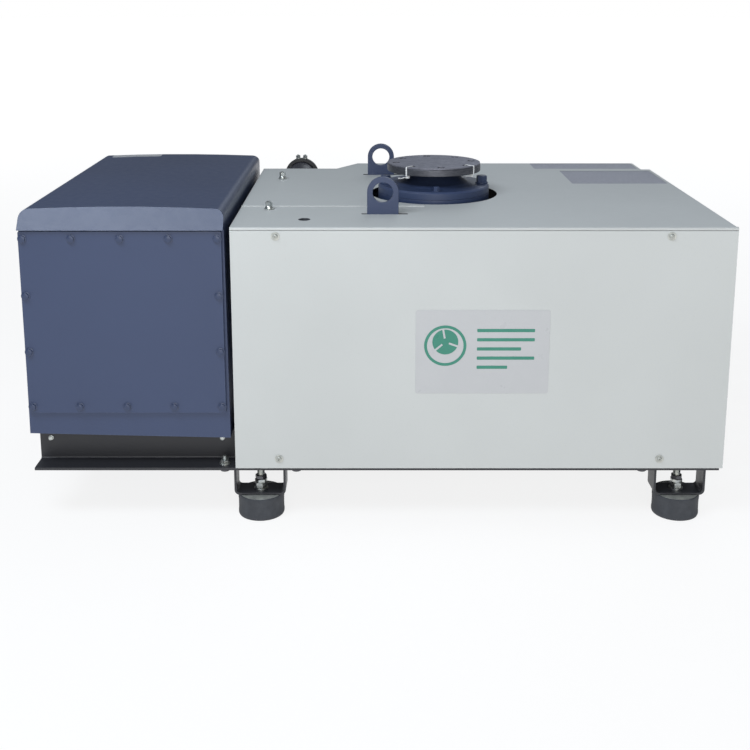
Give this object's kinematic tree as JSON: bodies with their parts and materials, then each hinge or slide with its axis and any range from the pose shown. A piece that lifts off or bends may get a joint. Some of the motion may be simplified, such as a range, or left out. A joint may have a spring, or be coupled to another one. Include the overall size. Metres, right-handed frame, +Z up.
{
  "type": "rotary vane vacuum pump",
  "caption": "Single-stage rotary vane vacuum pump with a blue oil casing, a light grey sound hood, a vertical inlet flange, lifting eyes and rubber feet.",
  "frame": {"origin": "middle of the bounding box's footprint, on the surface that the rubber feet stand on", "axes": "+X runs from the oil casing to the motor end, +Z up, -Y is the front with the cover plate and the large hood panel"},
  "size_m": [1.474, 0.85, 0.7275],
  "materials": {
    "casing_blue": "semi-gloss hammered paint on castings",
    "hood_grey": "satin powder coat",
    "frame_black": "satin black paint",
    "vent_grey": "satin powder coat",
    "flange_grey": "matte",
    "zinc": "bright zinc plate",
    "steel": "machined",
    "cast_iron": "as cast, oiled",
    "aluminium": "satin",
    "rubber": "matte",
    "elastomer": "matte",
    "black_plastic": "matte",
    "vane_composite": "woven fibre composite",
    "filter_fleece": "fleece",
    "glass": "clear"
  },
  "bodies": {
    "chassis": {"front_rail": "frame_black", "rear_rail": "frame_black", "cross_beam_left": "frame_black", "cross_beam_middle": "frame_black", "cross_beam_right": "frame_black", "foot_bracket_1": "frame_black", "foot_bracket_2": "frame_black", "foot_bracket_3": "frame_black", "foot_bracket_4": "frame_black", "rubber_foot_1": "rubber", "rubber_foot_2": "rubber", "rubber_foot_3": "rubber", "rubber_foot_4": "rubber", "foot_stud_1": "zinc", "foot_stud_2": "zinc", "foot_stud_3": "zinc", "foot_stud_4": "zinc", "oil_casing": "casing_blue", "casing_cover": "casing_blue", "oil_sight_glass": "glass", "oil_filler_plug": "black_plastic", "oil_drain_plug": "zinc", "exhaust_filter_1": "filter_fleece", "exhaust_filter_2": "filter_fleece", "stator": "cast_iron", "exhaust_valve": "steel", "end_plate_casing_side": "cast_iron", "end_plate_drive_side": "cast_iron", "inlet_housing": "casing_blue", "inlet_neck": "casing_blue", "inlet_cover": "flange_grey", "check_valve_spring": "steel", "lifting_eye_front": "casing_blue", "lifting_eye_rear": "casing_blue", "oil_filter": "black_plastic", "oil_cooler": "aluminium", "bellhousing": "cast_iron", "motor_housing": "aluminium", "motor_fan_cover": "frame_black", "motor_terminal_box": "aluminium", "front_panel": "hood_grey", "right_panel": "hood_grey", "rear_panel": "hood_grey", "top_panel": "hood_grey", "vent_grille_front": "vent_grey", "vent_grille_rear": "vent_grey", "exhaust_pipe": "aluminium"},
    "pump_rotor": {"rotor": "steel", "coupling_hub_pump": "cast_iron", "coupling_spider": "elastomer"},
    "vane_a": {"vane_1": "vane_composite"},
    "vane_b": {"vane_2": "vane_composite"},
    "vane_c": {"vane_3": "vane_composite"},
    "motor_shaft": {"motor_rotor": "steel", "coupling_hub_motor": "cast_iron", "motor_fan": "black_plastic"},
    "check_valve": {"check_valve_disc": "steel"},
    "lid": {"service_lid": "hood_grey", "lid_bolt_front": "zinc", "lid_bolt_rear": "zinc"}
  },
  "joints": [
    {"name": "pump_rotor_spin", "type": "hinge", "parent": "chassis", "child": "pump_rotor", "pos_m": [0.01, -0.025, 0.395], "axis": [1, 0, 0], "continuous": true},
    {"name": "motor_shaft_spin", "type": "hinge", "parent": "chassis", "child": "motor_shaft", "pos_m": [0.48, -0.025, 0.395], "axis": [1, 0, 0], "continuous": true},
    {"name": "vane_a_slide", "type": "slide", "parent": "pump_rotor", "child": "vane_a", "axis": [0, 0, -1], "range_m": [-0.006, 0]},
    {"name": "vane_b_slide", "type": "slide", "parent": "pump_rotor", "child": "vane_b", "axis": [0, 0.866, 0.5], "range_m": [-0.006, 0]},
    {"name": "vane_c_slide", "type": "slide", "parent": "pump_rotor", "child": "vane_c", "axis": [0, -0.866, 0.5], "range_m": [-0.006, 0]},
    {"name": "check_valve_open", "type": "slide", "parent": "chassis", "child": "check_valve", "axis": [0, 0, -1], "range_m": [0, 0.03], "stiffness_N_per_m": 800, "springref_m": -0.02, "deforming": ["check_valve_spring"]},
    {"name": "service_lid_lift", "type": "slide", "parent": "chassis", "child": "lid", "axis": [0, 0, 1], "range_m": [0, 0.3]}
  ],
  "couplings": [
    {"joint": "motor_shaft_spin", "follows": "pump_rotor_spin", "ratio": 1}
  ]
}
